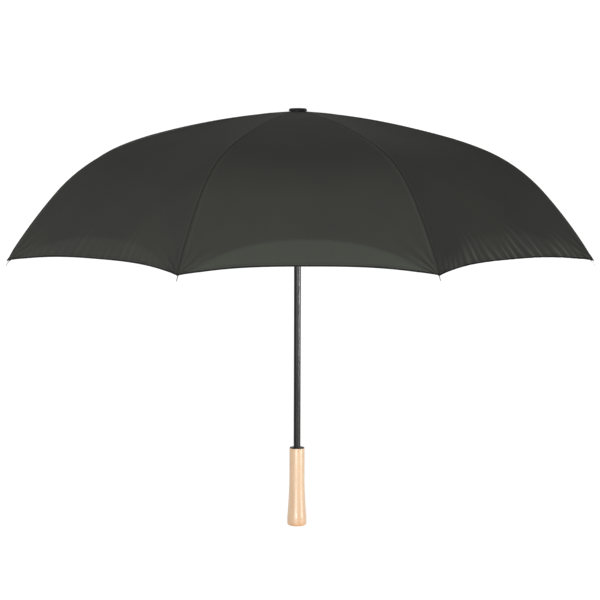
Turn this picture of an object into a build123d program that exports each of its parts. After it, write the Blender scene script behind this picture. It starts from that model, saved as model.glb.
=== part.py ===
"""Golf umbrella: domed eight-rib canopy, sliding runner, tubular shaft and straight wooden handle.

Millimetres. The origin is the centre of the handle's flat end and +Z runs up the shaft. Ribs stand
every 45 degrees, the first 22.5 degrees to the right of the -Y direction, so that one canopy panel
faces -Y. Every arm is drawn on the +X side of the XZ plane, where x is the radius, and then turned
to its own place about Z.
"""
from build123d import *
import math
import os

# ---------------------------------------------------------------- driving dimensions
RIB_COUNT = 8
STEP = 360 / RIB_COUNT
HALF = STEP / 2
FIRST_RIB = -90 + HALF
TOTAL_HEIGHT = 836.0
CANOPY_TOP = 829.0  # outer face of the cloth where the ribs start
ROOT_SLOPE = 4.0
RIB_ARCS = [(300.0, 14.5), (75.0, 21.0), (145.0, 47.0), (160.0, 57.5)]  # arc length, slope at its end
RIB_LENGTH = sum(length for length, slope in RIB_ARCS)
PIVOT_R = 15.0  # both pivot rings, on the notch and on the runner

CLOTH = 0.6
GORE_GAP = 0.2
HEM_RISE = 19.0  # the hem's rise at the middle of a panel
CLOTH_HOLE_R = 7.0

ROD_R = 1.7
ROD_DEPTH = 3.3  # rod centre below the cloth's outer face
EYE_T = 2.0
EYE_R = 1.6
FERRULE_R = 2.2
RING_WIRE_R = 0.6
RING_RUN = 0.05  # running clearance on the ring wires
EYE_REACH = 9.0  # from a pivot to the rod it carries

CLIP_AT = 292.0  # distance along the rib
CLIP_DROP = 9.0
RIVET_R = 1.0
RIVET_RUN = 0.06
CHEEK_T = 0.9
CHEEK_GAP = 2.2

FLEX_AT = 430.0
FLEX_SHARE = 0.35  # how much the rib straightens for each degree of folding
CLOSED_ANGLE = 83.0  # slope of the line from notch pivot to stretcher pivot when folded
TONGUE_T = 1.2
FLEX_PIN_R = 0.6
TIP_WIRE_R = 0.9
TIP_REACH = 10.0

SHAFT_R = 7.0
SHAFT_WALL = 0.8
SHAFT_FOOT = 40.0
SHAFT_TOP = 826.0
SLIDE_RUN = 0.08

NOTCH_R = 19.0
NOTCH_DEPTH = 5.5
SLOT_W = 2.5
CORE_R = 12.2
NOTCH_SLEEVE_R = 10.0
NOTCH_SLEEVE = 30.0
NOTCH_PIN_R = 1.2

RUNNER_R = 19.0
RUNNER_UP = 4.0
RUNNER_DOWN = 5.5
RUNNER_SLEEVE_R = 11.0
RUNNER_SLEEVE = 84.0
RUNNER_FLANGE_R = 14.0
RUNNER_FLANGE = 5.0

BUTTON_DROP = 44.0  # below the runner's pivots
BUTTON_W = 8.0
BUTTON_H = 14.0
BUTTON_RUN = 0.15
BUTTON_OUT = 17.2
BUTTON_IN = 10.4
BOSS_OUT = 14.0
CATCH_OUT = 10.0
CATCH_T = 2.4
CATCH_H = 13.4

HANDLE_TOP = 157.0
HANDLE_TOP_R = 15.3
HANDLE_END_R = 19.4
HANDLE_STRAIGHT = 92.0  # the upper part is a plain cylinder down to here
HANDLE_LAND_TOP = 16.0
HANDLE_LAND_FOOT = 5.0
HANDLE_RIM = 5.0
COLLAR_T = 1.2
COLLAR_R = 14.6

CAP_R = 18.0
CAP_FOOT = 829.4

STRAP_W = 18.0
STRAP_FROM = 470.0
STRAP_TO = 650.0
STRAP_RIB = 5

# ---------------------------------------------------------------- the rib curve


def rib_curve(along, depth=0.0):
    """Radius, height and slope (degrees) at a distance along the cloth, so far below its outer face."""
    r = PIVOT_R + ROD_DEPTH * math.sin(math.radians(ROOT_SLOPE))
    z = CANOPY_TOP
    slope = math.radians(ROOT_SLOPE)
    left = along
    if left < 0:
        r += left * math.cos(slope)
        z -= left * math.sin(slope)
        left = 0
    for length, end in RIB_ARCS:
        end = math.radians(end)
        run = min(left, length)
        turn = (end - slope) * run / length
        radius = length / (end - slope)
        r += radius * (math.sin(slope + turn) - math.sin(slope))
        z += radius * (math.cos(slope + turn) - math.cos(slope))
        slope += turn
        left -= run
        if left <= 0:
            break
    if left > 0:
        r += left * math.cos(slope)
        z -= left * math.sin(slope)
    return r - depth * math.sin(slope), z - depth * math.cos(slope), math.degrees(slope)


def on_rib(along, depth=ROD_DEPTH):
    r, z, _ = rib_curve(along, depth)
    return Vector(r, 0, z)


def rib_path(start, stop):
    """Tangent arcs along the rod's centre line."""
    joints = [0.0]
    for length, _ in RIB_ARCS:
        joints.append(joints[-1] + length)
    stops = [start] + [j for j in joints if start < j < stop] + [stop]
    arcs = [ThreePointArc(on_rib(a), on_rib((a + b) / 2), on_rib(b)) for a, b in zip(stops, stops[1:])]
    return Wire(arcs)


# ---------------------------------------------------------------- pivots of the folding linkage
NOTCH_PIVOT = on_rib(0)
clip_r, clip_z, clip_slope = rib_curve(CLIP_AT, ROD_DEPTH + CLIP_DROP)
CLIP_PIVOT = Vector(clip_r, 0, clip_z)
LEVER = (CLIP_PIVOT - NOTCH_PIVOT).length  # the stretcher has the same length
OPEN_ANGLE = math.degrees(math.atan2(NOTCH_PIVOT.Z - clip_z, clip_r - PIVOT_R))
RUNNER_Z = NOTCH_PIVOT.Z - 2 * LEVER * math.sin(math.radians(OPEN_ANGLE))
RUNNER_PIVOT = Vector(PIVOT_R, 0, RUNNER_Z)
FLEX_PIVOT = on_rib(FLEX_AT)
FOLD = CLOSED_ANGLE - OPEN_ANGLE
BUTTON_Z = RUNNER_Z - BUTTON_DROP

# ---------------------------------------------------------------- small helpers


def around(shape, rib):
    """Turn a shape drawn over +X to rib 1, 2, ... about the shaft."""
    return shape.rotate(Axis.Z, FIRST_RIB + STEP * (rib - 1))


def rod_between(a, b, radius):
    return extrude(Plane(origin=a, z_dir=b - a) * Circle(radius), (b - a).length)


def cross_pin(at, radius, length):
    """A pin along Y, centred on the XZ plane."""
    start = Vector(at.X, at.Y - length / 2, at.Z)
    return rod_between(start, start + Vector(0, length, 0), radius)


def ring(z_low, z_high, r_out, r_in=0.0):
    shape = Pos(0, 0, z_low) * extrude(Circle(r_out), z_high - z_low)
    if r_in:
        shape -= Pos(0, 0, z_low) * extrude(Circle(r_in), z_high - z_low)
    return shape


def lug(at, direction, reach, radius, thickness, hole_r):
    """A flat eye round a pivot, with an arm that reaches along a direction in the XZ plane."""
    frame = Plane(origin=at + Vector(0, thickness / 2, 0), x_dir=direction, z_dir=(0, -1, 0))
    outline = Circle(radius) + Pos(reach / 2, 0) * Rectangle(reach, 2 * radius) - Circle(hole_r)
    return extrude(frame * outline, thickness)


def slope_direction(degrees):
    angle = math.radians(degrees)
    return Vector(math.cos(angle), 0, -math.sin(angle))


def octagon_wire(z, radius):
    """A round wire bent to an octagon, so that each eye turns on a straight stretch of it."""
    corner = PIVOT_R / math.cos(math.radians(HALF))
    corners = [
        Vector(corner * math.cos(math.radians(STEP * k)), corner * math.sin(math.radians(STEP * k)), z)
        for k in range(RIB_COUNT)
    ]
    wire = Part()
    for a, b in zip(corners, corners[1:] + corners[:1]):
        wire += rod_between(a, b, radius) + Pos(b) * Sphere(radius)
    return wire


def pivot_head(z, up, down, radius):
    """The slotted head that the eyes sit in, with the tunnel for its ring wire."""
    head = ring(z - down, z + up, radius)
    slot = Pos((CORE_R + radius) / 2 + 1, 0, z) * Box(radius - CORE_R + 2, SLOT_W, 4 * (up + down))
    for rib in range(1, RIB_COUNT + 1):
        head -= around(slot, rib)
    return head - octagon_wire(z, RING_WIRE_R + RING_RUN)


# ---------------------------------------------------------------- canopy cloth


def panel_section(start, stop, above, below):
    """Cross-section of a panel in the plane through its middle, where x is the distance from the shaft."""
    squeeze = math.cos(math.radians(HALF))
    count = 2 + round((stop - start) / 50)
    stations = [start + (stop - start) * k / (count - 1) for k in range(count)]
    faces = []
    for depth in (-above, below):
        points = [rib_curve(s, depth) for s in stations]
        faces.append([Vector(r * squeeze, 0, z) for r, z, _ in points])
    outer, inner = faces
    edges = [Spline(*outer), Line(outer[-1], inner[-1]), Spline(*inner[::-1]), Line(inner[0], outer[0])]
    return make_face(Wire(edges).edges())


def hem_cut():
    """What the curved hem leaves out below it, across a whole panel."""
    r, z, slope = rib_curve(RIB_LENGTH)
    squeeze = math.cos(math.radians(HALF))
    half_chord = r * math.sin(math.radians(HALF))
    panel_slope = math.atan2(math.tan(math.radians(slope)), squeeze)
    up_the_cloth = Vector(-math.cos(panel_slope), 0, math.sin(panel_slope))
    normal = Vector(math.sin(panel_slope), 0, math.cos(panel_slope))
    frame = Plane(origin=(r * squeeze, 0, z), x_dir=up_the_cloth, z_dir=normal)
    waste = 30.0
    side = [(0, half_chord), (-waste, half_chord), (-waste, -half_chord), (0, -half_chord)]
    outline = make_face([*Polyline(*side).edges(), ThreePointArc(side[-1], (HEM_RISE, 0), side[0])])
    return extrude(frame * outline, waste, both=True)


def gore(start, stop, above, below, half_width=None):
    """The cloth from one panel's middle, over a rib, to the next panel's middle."""
    width = 260.0
    sheet = extrude(panel_section(start, stop, above, below), width, dir=(0, 1, 0))
    if stop >= RIB_LENGTH:
        sheet -= hem_cut()
    far = 800.0
    angle = math.radians(HALF)
    edge = GORE_GAP / 2
    wedge = make_face(Polyline((0, edge), (far, edge), (far, far * math.tan(angle)), (0, 0), close=True))
    sheet &= extrude(Plane.XY * wedge, 2 * TOTAL_HEIGHT)
    half = sheet.rotate(Axis.Z, -HALF)
    whole = half + half.mirror(Plane.XZ)
    if half_width:
        whole &= Pos(far / 2, 0, CANOPY_TOP / 2) * Box(far, 2 * half_width, 2 * TOTAL_HEIGHT)
    return whole


# ---------------------------------------------------------------- one rib, in two lengths


def rib_inner():
    rod = sweep(Plane(origin=on_rib(EYE_REACH), z_dir=slope_direction(rib_curve(EYE_REACH)[2])) * Circle(ROD_R),
                path=rib_path(EYE_REACH, FLEX_AT))
    rod += cross_pin(FLEX_PIVOT, ROD_R, 2 * ROD_R)
    mouth = Plane(origin=FLEX_PIVOT, x_dir=slope_direction(rib_curve(FLEX_AT)[2]), z_dir=(0, 1, 0))
    slot_depth = ROD_R + 0.7
    rod -= extrude(mouth * Rectangle(2 * slot_depth, 3 * ROD_R), TONGUE_T / 2 + RING_RUN, both=True)
    rod -= cross_pin(FLEX_PIVOT, FLEX_PIN_R, 3 * ROD_R)
    pin = cross_pin(FLEX_PIVOT, FLEX_PIN_R, 2 * ROD_R)

    root = slope_direction(ROOT_SLOPE)
    eye = lug(NOTCH_PIVOT, root, EYE_REACH, EYE_R, EYE_T, RING_WIRE_R + RING_RUN)
    ferrule_start = NOTCH_PIVOT + root * (EYE_REACH - 1.5)
    eye += rod_between(ferrule_start, NOTCH_PIVOT + root * (EYE_REACH + 14), FERRULE_R)
    eye -= rod_between(on_rib(EYE_REACH), on_rib(EYE_REACH + 30), ROD_R)

    along = slope_direction(clip_slope)
    down = Vector(-math.sin(math.radians(clip_slope)), 0, -math.cos(math.radians(clip_slope)))
    clip = rod_between(on_rib(CLIP_AT) - along * 7, on_rib(CLIP_AT) + along * 7, FERRULE_R)
    for side in (-1, 1):
        middle = side * (CHEEK_GAP + CHEEK_T) / 2
        cheek = lug(CLIP_PIVOT, -down, CLIP_DROP, 2.6, CHEEK_T, RIVET_R)
        clip += Pos(0, middle, 0) * cheek
    clip -= rod_between(on_rib(CLIP_AT) - along * 8, on_rib(CLIP_AT) + along * 8, ROD_R)
    rivet = cross_pin(CLIP_PIVOT, RIVET_R, CHEEK_GAP + 2 * CHEEK_T)
    for side in (-1, 1):
        rivet += Pos(0, side * (CHEEK_GAP / 2 + CHEEK_T + 0.3), 0) * cross_pin(CLIP_PIVOT, 1.7, 0.6)
    return Compound([rod, pin, eye, clip, rivet])


def rib_outer():
    start = FLEX_AT + ROD_R + 0.9
    stop = RIB_LENGTH - 4
    rod = sweep(Plane(origin=on_rib(start), z_dir=slope_direction(rib_curve(start)[2])) * Circle(ROD_R),
                path=rib_path(start, stop))
    rod += lug(FLEX_PIVOT, slope_direction(rib_curve(FLEX_AT)[2]), ROD_R + 2, 1.6, TONGUE_T, FLEX_PIN_R + RING_RUN)
    rod -= cross_pin(FLEX_PIVOT, FLEX_PIN_R + RING_RUN, 6)
    way = slope_direction(rib_curve(RIB_LENGTH)[2])
    end = on_rib(stop)
    tip_end = end + way * (4 + TIP_REACH)
    tip = rod_between(end, tip_end, TIP_WIRE_R)
    tip = fillet(tip.edges().filter_by(GeomType.CIRCLE).sort_by_distance(tip_end)[0], 0.6)
    socket = rod_between(end - way * 12, end + way * 2, FERRULE_R)
    socket -= rod_between(end - way * 20, end, ROD_R)
    socket -= rod_between(end, end + way * 6, TIP_WIRE_R)
    return Compound([rod, tip, socket])


def stretcher():
    along = (RUNNER_PIVOT - CLIP_PIVOT).normalized()
    rod = rod_between(CLIP_PIVOT + along * EYE_REACH, RUNNER_PIVOT - along * EYE_REACH, ROD_R)
    ends = [rod]
    for at, way, radius, thickness, hole in (
        (CLIP_PIVOT, along, 2.2, EYE_T, RIVET_R + RIVET_RUN),
        (RUNNER_PIVOT, along * -1, EYE_R, EYE_T, RING_WIRE_R + RING_RUN),
    ):
        end = lug(at, way, EYE_REACH, radius, thickness, hole)
        end += rod_between(at + way * (EYE_REACH - 2), at + way * (EYE_REACH + 14), FERRULE_R)
        end -= rod_between(at + way * EYE_REACH, at + way * (EYE_REACH + 20), ROD_R)
        ends.append(end)
    return Compound(ends)


# ---------------------------------------------------------------- top of the shaft


def shaft_tube():
    tube = ring(SHAFT_FOOT, SHAFT_TOP, SHAFT_R, SHAFT_R - SHAFT_WALL)
    for pin in (notch_pin(), stop_pin()):
        tube -= pin
    window = Pos(0, -SHAFT_R, BUTTON_Z) * Box(CATCH_T + 0.3, 2 * SHAFT_R, CATCH_H + 1)
    return tube - window


def shaft_end_plug():
    plug = ring(NOTCH_PIN_Z + 4, SHAFT_TOP, SHAFT_R - SHAFT_WALL)
    return plug - ring(SHAFT_TOP - 14, SHAFT_TOP, 2.0)


def cap_stud():
    return ring(SHAFT_TOP - 14, CAP_FOOT + 4, 2.0)


NOTCH_FOOT = NOTCH_PIVOT.Z - NOTCH_DEPTH - NOTCH_SLEEVE
NOTCH_PIN_Z = NOTCH_FOOT + 8


def notch_pin():
    return Pos(0, 0, NOTCH_PIN_Z) * Rot(0, 90, 0) * Cylinder(NOTCH_PIN_R, 2 * NOTCH_SLEEVE_R)


def top_notch():
    head = pivot_head(NOTCH_PIVOT.Z, EYE_R, NOTCH_DEPTH, NOTCH_R)
    body = head + ring(NOTCH_FOOT, NOTCH_PIVOT.Z - NOTCH_DEPTH, NOTCH_SLEEVE_R)
    body -= ring(NOTCH_FOOT, TOTAL_HEIGHT, SHAFT_R)
    return body - notch_pin()


STOP_PIN_R = 1.5
STOP_Z = RUNNER_Z + RUNNER_UP + STOP_PIN_R + 0.3


def stop_pin():
    return Pos(0, 0, STOP_Z) * Rot(0, 90, 0) * Cylinder(STOP_PIN_R, 2 * SHAFT_R + 6)


def top_cap():
    top = TOTAL_HEIGHT
    edge = 2.6
    section = make_face([
        *Polyline((0, top), (CAP_R - 4.5, top - 0.6)).edges(),
        ThreePointArc((CAP_R - 4.5, top - 0.6), (CAP_R - 1.3, top - 1.8), (CAP_R, top - 2 - edge)),
        *Polyline((CAP_R, top - 2 - edge), (CAP_R, CAP_FOOT), (SEAL_R, CAP_FOOT), (SEAL_R, SEAL_TOP),
                  (0, SEAL_TOP), (0, top)).edges(),
    ])
    return revolve(Plane.XZ * section, Axis.Z) - cap_stud()


SEAL_R = 14.5
SEAL_TOP = 831.2


def cap_seal():
    return ring(829.9, SEAL_TOP, SEAL_R, 3.0)


# ---------------------------------------------------------------- runner and its catch


def runner_body():
    low = RUNNER_Z - RUNNER_DOWN - RUNNER_SLEEVE
    body = pivot_head(RUNNER_Z, RUNNER_UP, RUNNER_DOWN, RUNNER_R)
    body += ring(low, RUNNER_Z - RUNNER_DOWN, RUNNER_SLEEVE_R)
    body += ring(low, low + RUNNER_FLANGE, RUNNER_FLANGE_R)
    boss = Pos(0, -BOSS_OUT / 2, BUTTON_Z) * Box(BUTTON_W + 5, BOSS_OUT, BUTTON_H + 8)
    body += fillet(boss.edges().filter_by(Axis.Y), 3.0)
    body -= ring(low, RUNNER_Z + RUNNER_UP, SHAFT_R + SLIDE_RUN)
    gap = 2 * BUTTON_RUN
    return body - Pos(0, -BUTTON_OUT / 2, BUTTON_Z) * Box(BUTTON_W + gap, BUTTON_OUT, BUTTON_H + gap)


def release_button():
    block = Pos(0, -(BUTTON_OUT + BUTTON_IN) / 2, BUTTON_Z) * Box(BUTTON_W, BUTTON_OUT - BUTTON_IN, BUTTON_H)
    return fillet(block.edges().filter_by(Axis.Y), 1.5)


def shaft_catch():
    """A steel nose that stands out of the shaft under the runner's window and holds the canopy open."""
    high = CATCH_H / 2
    outline = Polyline((-3.0, -high), (-SHAFT_R, -high), (-CATCH_OUT, high - 3), (-CATCH_OUT, high), (-3.0, high),
                       close=True)
    nose = extrude(Plane.YZ * make_face(outline), CATCH_T / 2, both=True)
    return Pos(0, 0, BUTTON_Z) * nose


def catch_leaf():
    """The bowed strip behind the nose, in the tube."""
    tall = 30.0
    bow = ThreePointArc((5.5, -tall), (-2.5, 0), (5.5, tall))
    inner = ThreePointArc((6.0, -tall), (-2.1, 0), (6.0, tall))
    ends = [Line(bow @ 0, inner @ 0), Line(bow @ 1, inner @ 1)]
    strip = extrude(Plane.YZ * make_face([bow, inner, *ends]), CATCH_T / 2 - 0.2, both=True)
    return Pos(0, 0, BUTTON_Z) * strip


# ---------------------------------------------------------------- handle

BORE_FLOOR = SHAFT_FOOT
INSERT_TOP = SHAFT_FOOT + 35
SCREW_R = 2.5
HEAD_R = 5.0
HEAD_SEAT = 10.0
BUTTON_PLUG_R = 8.0


def handle_grip():
    top_round = 0.7
    flare = ThreePointArc(
        (HANDLE_TOP_R, HANDLE_STRAIGHT),
        (HANDLE_TOP_R + 0.36 * (HANDLE_END_R - HANDLE_TOP_R), (HANDLE_STRAIGHT + HANDLE_LAND_TOP) / 2),
        (HANDLE_END_R, HANDLE_LAND_TOP),
    )
    rim_r = HANDLE_END_R - HANDLE_RIM
    rim = HANDLE_RIM * (1 - math.sqrt(0.5))
    section = make_face([
        *Polyline((0, HANDLE_TOP), (HANDLE_TOP_R - top_round, HANDLE_TOP)).edges(),
        ThreePointArc((HANDLE_TOP_R - top_round, HANDLE_TOP),
                      (HANDLE_TOP_R - top_round * 0.29, HANDLE_TOP - top_round * 0.29),
                      (HANDLE_TOP_R, HANDLE_TOP - top_round)),
        Line((HANDLE_TOP_R, HANDLE_TOP - top_round), (HANDLE_TOP_R, HANDLE_STRAIGHT)),
        flare,
        Line((HANDLE_END_R, HANDLE_LAND_TOP), (HANDLE_END_R, HANDLE_LAND_FOOT)),
        ThreePointArc((HANDLE_END_R, HANDLE_LAND_FOOT), (HANDLE_END_R - rim, rim), (rim_r, 0)),
        *Polyline((rim_r, 0), (0, 0), (0, HANDLE_TOP)).edges(),
    ])
    grip = revolve(Plane.XZ * section, Axis.Z)
    grip -= ring(BORE_FLOOR, HANDLE_TOP, SHAFT_R)
    grip -= ring(0, BORE_FLOOR, SCREW_R + 0.2)
    grip -= ring(0, HEAD_SEAT, HEAD_R + 0.4)
    return grip - ring(0, 3, BUTTON_PLUG_R)


def handle_insert():
    insert = ring(SHAFT_FOOT, INSERT_TOP, SHAFT_R - SHAFT_WALL)
    return insert - ring(SHAFT_FOOT, INSERT_TOP - 8, SCREW_R)


def handle_screw():
    head = ring(5, HEAD_SEAT, HEAD_R) - Pos(0, 0, 5) * extrude(RegularPolygon(2.3, 6), 2.4)
    return head + ring(HEAD_SEAT, INSERT_TOP - 9, SCREW_R)


def handle_end_button():
    return ring(0.2, 3, BUTTON_PLUG_R)


def handle_collar():
    return ring(HANDLE_TOP, HANDLE_TOP + COLLAR_T, COLLAR_R, SHAFT_R)


# ---------------------------------------------------------------- tie strap


def tie_strap():
    """A flat strap over a back rib's seam, with the cap of its press stud."""
    strap = gore(STRAP_FROM, STRAP_TO, 1.6, -0.4, half_width=STRAP_W / 2)
    stud_at = STRAP_FROM + 12
    at = on_rib(stud_at, -1.6)
    slope = math.radians(rib_curve(stud_at)[2])
    normal = Vector(math.sin(slope), 0, math.cos(slope))
    return Compound([strap, rod_between(at, at + normal * 1.6, 5.5)])


# ---------------------------------------------------------------- build and write

nodes = {
    "shaft_tube": shaft_tube(),
    "shaft_end_plug": shaft_end_plug(),
    "cap_stud": cap_stud(),
    "cap_seal": cap_seal(),
    "top_cap": top_cap(),
    "top_notch": top_notch(),
    "notch_ring_wire": octagon_wire(NOTCH_PIVOT.Z, RING_WIRE_R),
    "notch_pin": notch_pin(),
    "top_stop_pin": stop_pin(),
    "shaft_catch": shaft_catch(),
    "catch_leaf": catch_leaf(),
    "runner_body": runner_body(),
    "runner_ring_wire": octagon_wire(RUNNER_Z, RING_WIRE_R),
    "release_button": release_button(),
    "handle_grip": handle_grip(),
    "handle_collar": handle_collar(),
    "handle_insert": handle_insert(),
    "handle_screw": handle_screw(),
    "handle_end_button": handle_end_button(),
}
arms = {
    "rib_inner": rib_inner(),
    "rib_outer": rib_outer(),
    "stretcher": stretcher(),
    "canopy_top": gore(CLOTH_HOLE_R - PIVOT_R, FLEX_AT - 0.15, 0.0, CLOTH),
    "canopy_hem": gore(FLEX_AT + 0.15, RIB_LENGTH, 0.0, CLOTH),
}
for name, shape in arms.items():
    for rib in range(1, RIB_COUNT + 1):
        nodes[f"{name}_{rib}"] = around(shape, rib)
nodes["tie_strap"] = around(tie_strap(), STRAP_RIB)

os.makedirs("parts", exist_ok=True)
for name, shape in nodes.items():
    export_step(shape, f"parts/{name}.step")

print("lever", LEVER, "open angle", OPEN_ANGLE, "fold", FOLD)
print("notch pivot", NOTCH_PIVOT, "clip pivot", CLIP_PIVOT)
print("runner pivot", RUNNER_PIVOT, "flex pivot", FLEX_PIVOT)
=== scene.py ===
"""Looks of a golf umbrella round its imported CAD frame: cloth canopy, sprung ribs, turned wooden handle."""
import math

import bpy
import numpy as np
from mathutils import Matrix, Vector


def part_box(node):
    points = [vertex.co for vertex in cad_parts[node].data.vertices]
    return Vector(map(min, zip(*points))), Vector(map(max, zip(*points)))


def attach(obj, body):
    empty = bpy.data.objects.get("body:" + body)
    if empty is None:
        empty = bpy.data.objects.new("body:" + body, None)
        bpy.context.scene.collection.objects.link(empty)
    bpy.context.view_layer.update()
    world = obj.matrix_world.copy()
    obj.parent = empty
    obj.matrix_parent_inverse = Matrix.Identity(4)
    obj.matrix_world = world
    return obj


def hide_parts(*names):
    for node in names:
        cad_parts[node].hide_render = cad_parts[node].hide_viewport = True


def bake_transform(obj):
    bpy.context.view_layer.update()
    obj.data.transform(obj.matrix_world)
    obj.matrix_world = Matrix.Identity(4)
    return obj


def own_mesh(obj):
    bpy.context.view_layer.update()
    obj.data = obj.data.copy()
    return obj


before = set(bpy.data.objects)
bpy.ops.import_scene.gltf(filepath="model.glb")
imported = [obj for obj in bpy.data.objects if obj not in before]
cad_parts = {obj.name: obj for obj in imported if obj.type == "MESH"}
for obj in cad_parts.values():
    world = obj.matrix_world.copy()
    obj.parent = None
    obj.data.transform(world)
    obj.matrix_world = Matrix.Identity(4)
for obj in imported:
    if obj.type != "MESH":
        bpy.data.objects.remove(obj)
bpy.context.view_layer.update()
MM = 0.001

# ---------------------------------------------------------------- the canopy's own dimensions
# Distances along a rib start at its root eye. Angles in RIB_ARCS are in degrees, the others in radians.
RIBS = 8
HALF = math.pi / RIBS  # half the angle between two ribs
FIRST_RIB = -math.pi / 2 + HALF
PIVOT_R = 15 * MM  # from the shaft's axis to the root eyes
ROD_DEPTH = 3.3 * MM  # from the cloth's outside to a rod's centre line
ROD_R = 1.7 * MM
ROOT_SLOPE = math.radians(4.0)
CANOPY_TOP = 829 * MM
RIB_ARCS = [(300 * MM, 14.5), (75 * MM, 21.0), (145 * MM, 47.0), (160 * MM, 57.5)]  # length, slope at its end
RIB_LENGTH = sum(length for length, slope in RIB_ARCS)
FLEX_AT = 430 * MM  # the knuckle, where a folding rib bends
CLIP_AT = 292 * MM  # where the stretcher hangs on the rib
CLIP_DROP = 9 * MM
TIP_AT = RIB_LENGTH - 4 * MM  # the rod's end, in its tip socket
CLOTH = 0.5 * MM
BINDING = 3.2 * MM  # width of the dark tape round the hem
BINDING_BULGE = 0.35 * MM
BINDING_EDGE = 0.25 * MM
HEM_RISE = 24 * MM  # how much shorter the cloth is between two ribs
CROWN_START = -8 * MM  # the cloth runs on inwards from the root eyes, under the cap
SAG = 4 * MM
BAND_TURN = math.tan(math.radians(13))  # the hem turns down more steeply by this, in a crescent above it
BAND_BEND = 2.2 * MM
SEAM_RELIEF = [(0.8 * MM, 2.4 * MM, 1.7 * MM), (-0.2 * MM, 5.6 * MM, 1.4 * MM)]  # height, from the rib, width
SEAM_FADE = 25 * MM  # the seam flattens out where the panel is narrower than this
SEAM_STITCH = 3.2 * MM  # the stitching's distance from the seam, and from the hem
HEM_STITCH = 6.0 * MM
STITCH = 3.2 * MM
THREAD = 0.9 * MM  # one turn of the weave

# Folds along each panel's hem, panel by panel from the one between ribs 1 and 2: depth of the
# folds, how they lean, their spacing and their length up the cloth. Then the turned-down crescent
# above the hem: how much lighter it is painted, a painted light where the turned cloth catches the light, and
# its height at the middle of the panel. Sizes in mm.
PANEL_FOLDS = [
    (1.90, 0.80, 26, 40, 0.10, 50),
    (0.70, -0.50, 31, 36, 0.40, 44),
    (1.00, 0.60, 29, 42, 0.30, 47),
    (0.70, -0.40, 33, 34, 0.45, 42),
    (0.90, 0.70, 28, 40, 0.35, 48),
    (0.60, -0.60, 32, 34, 0.45, 45),
    (0.28, -0.45, 22, 40, 0.20, 40),
    (0.14, 0.15, 21, 42, 1.00, 50),
]

# The cloth is drawn in lengths, from the cap down: start, stop, what is left of the width when
# the umbrella folds, rows and columns. The two lengths that meet at the ribs' knuckles ride on the
# ribs' inner and outer parts.
ZONES = [
    (CROWN_START, 15 * MM, 0.98, 3, 10),
    (15 * MM, 40 * MM, 0.70, 4, 12),
    (40 * MM, 75 * MM, 0.51, 4, 14),
    (75 * MM, 120 * MM, 0.41, 5, 16),
    (120 * MM, 175 * MM, 0.36, 6, 18),
    (175 * MM, 240 * MM, 0.30, 7, 20),
    (240 * MM, 310 * MM, 0.265, 7, 20),
    (310 * MM, 370 * MM, 0.238, 6, 22),
    (370 * MM, 410 * MM, 0.21, 5, 24),
    (410 * MM, "knuckle", 0.178, 7, 24),
    ("knuckle", 540 * MM, 0.125, 10, 28),
    (540 * MM, 590 * MM, 0.11, 8, 40),
    (590 * MM, 630 * MM, 0.093, 16, 84),
    (630 * MM, "hem", 0.078, 22, 84),
]
LAP = 4 * MM  # how far a length of cloth runs on inside the one above it, so that none parts when folded
LAP_DEPTH = 0.12 * MM
SEAM_COLUMNS = [0.0, 0.0022, 0.0045, 0.007, 0.010, 0.014, 0.019, 0.026]  # share of the half panel's width
PANEL_COLUMNS_FROM = 0.035
HEM_ROWS = [0.925, 0.94, 0.955, 1.0]  # share of the last length
HEM_ROWS_FROM = 0.90

FAN_LEAN = 0.5  # the folds lean the other way beside the rib that they fan out from
RIDGE_POWER = 2.6  # narrow ridges with wide hollows between them
RIDGE_MEAN = 0.35
FINE_FOLDS = 1.73  # fine folds for each strong one
FINE_HEIGHT = 0.3
HEM_HOLD = 9 * MM  # the tape holds the folds flat within this
GATHER_DEPTH = 1.2 * MM  # the pulls that radiate from each tip
GATHER_FOLDS = 16
GATHER_REACH = 62 * MM
GATHER_START = 16 * MM
SEAM_HOLD = 2.5 * MM
FULL_CREST = 1.2  # mm of fold depth at which a crest's painted highlight shows fully
LIGHTER = 0.35  # painted light: a panel with a light band is painted lighter towards its hem, by this share of the band's own
LIGHTER_FROM = 150 * MM
LIGHTER_OVER = 260 * MM


# ---------------------------------------------------------------- where the cloth is


def rib_curve(along):
    """Radius, height and slope of the cloth over a rib, at a distance along it. Takes arrays."""
    s = np.asarray(along, float)
    r = np.full(s.shape, PIVOT_R + ROD_DEPTH * math.sin(ROOT_SLOPE)) + np.minimum(s, 0) * math.cos(ROOT_SLOPE)
    z = np.full(s.shape, CANOPY_TOP) - np.minimum(s, 0) * math.sin(ROOT_SLOPE)
    slope = np.full(s.shape, ROOT_SLOPE)
    left = np.maximum(s, 0)
    start = ROOT_SLOPE
    for length, end in RIB_ARCS:
        end = math.radians(end)
        radius = length / (end - start)
        turn = np.clip(left, 0, length) / radius
        r = r + radius * (np.sin(start + turn) - math.sin(start))
        z = z + radius * (np.cos(start + turn) - math.cos(start))
        slope = slope + turn
        left = left - length
        start = end
    over = np.maximum(left, 0)
    return r + over * np.cos(slope), z - over * np.sin(slope), slope


def rod_point(along):
    """A point on the centre line of a rib's rod, drawn over +X."""
    r, z, slope = (float(x) for x in rib_curve(along))
    return Vector((r - ROD_DEPTH * math.sin(slope), 0, z - ROD_DEPTH * math.cos(slope)))


def hem_at(u):
    """Distance along the cloth at which it ends, u being -1 and 1 at the ribs and 0 between them."""
    return RIB_LENGTH - HEM_RISE * (1 - np.abs(u) ** 2.6)


def soft_step(x, width):
    """From 0 to 1 as x passes 0."""
    return 0.5 + 0.5 * np.tanh(x / width)


def soft_ramp(x, width):
    """0 below 0 and x above it, with a rounded corner."""
    return width * np.logaddexp(0, x / width)


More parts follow.
